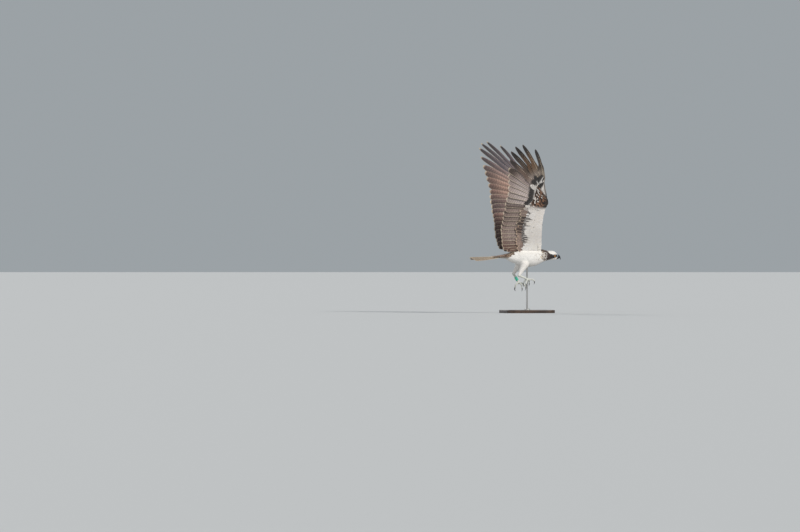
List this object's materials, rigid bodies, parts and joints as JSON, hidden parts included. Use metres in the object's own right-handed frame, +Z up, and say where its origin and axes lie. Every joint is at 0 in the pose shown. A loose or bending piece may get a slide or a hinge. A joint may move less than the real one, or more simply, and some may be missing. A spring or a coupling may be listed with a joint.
{
  "type": "osprey",
  "caption": "Life-size still model of an osprey in flight with both wings raised and feet lowered, carried by a plain rod on a flat display base.",
  "frame": {"origin": "middle of the underside of the stand's flat base, on the floor", "axes": "+X forward, the way the bird heads; +Y to the bird's left; +Z up, towards the raised wing tips"},
  "size_m": [0.5717, 0.736, 1.0408],
  "materials": {
    "plumage_white": "matte",
    "plumage_brown": "matte",
    "bill": "satin",
    "eye": "gloss",
    "leg_skin": "matte",
    "claw": "satin",
    "ring_plastic": "satin",
    "stand_wood": "satin",
    "stand_metal": "satin"
  },
  "bodies": {
    "root": {"bill_lower": "bill", "bill_upper": "bill", "claw_front_left": "claw", "claw_front_right": "claw", "claw_hind_left": "claw", "claw_hind_right": "claw", "claw_inner_left": "claw", "claw_inner_right": "claw", "claw_outer_left": "claw", "claw_outer_right": "claw", "eye_left": "eye", "eye_right": "eye", "foot_left": "leg_skin", "foot_right": "leg_skin", "head": "plumage_white", "leg_ring": "ring_plastic", "neck": "plumage_white", "stand_base": "stand_wood", "stand_collar": "stand_metal", "stand_rod": "stand_metal", "tail": "plumage_brown", "tarsus_left": "leg_skin", "tarsus_right": "leg_skin", "thigh_left": "plumage_white", "thigh_right": "plumage_white", "torso": "plumage_white", "wing_left": "plumage_brown", "wing_right": "plumage_brown"}
  },
  "joints": []
}
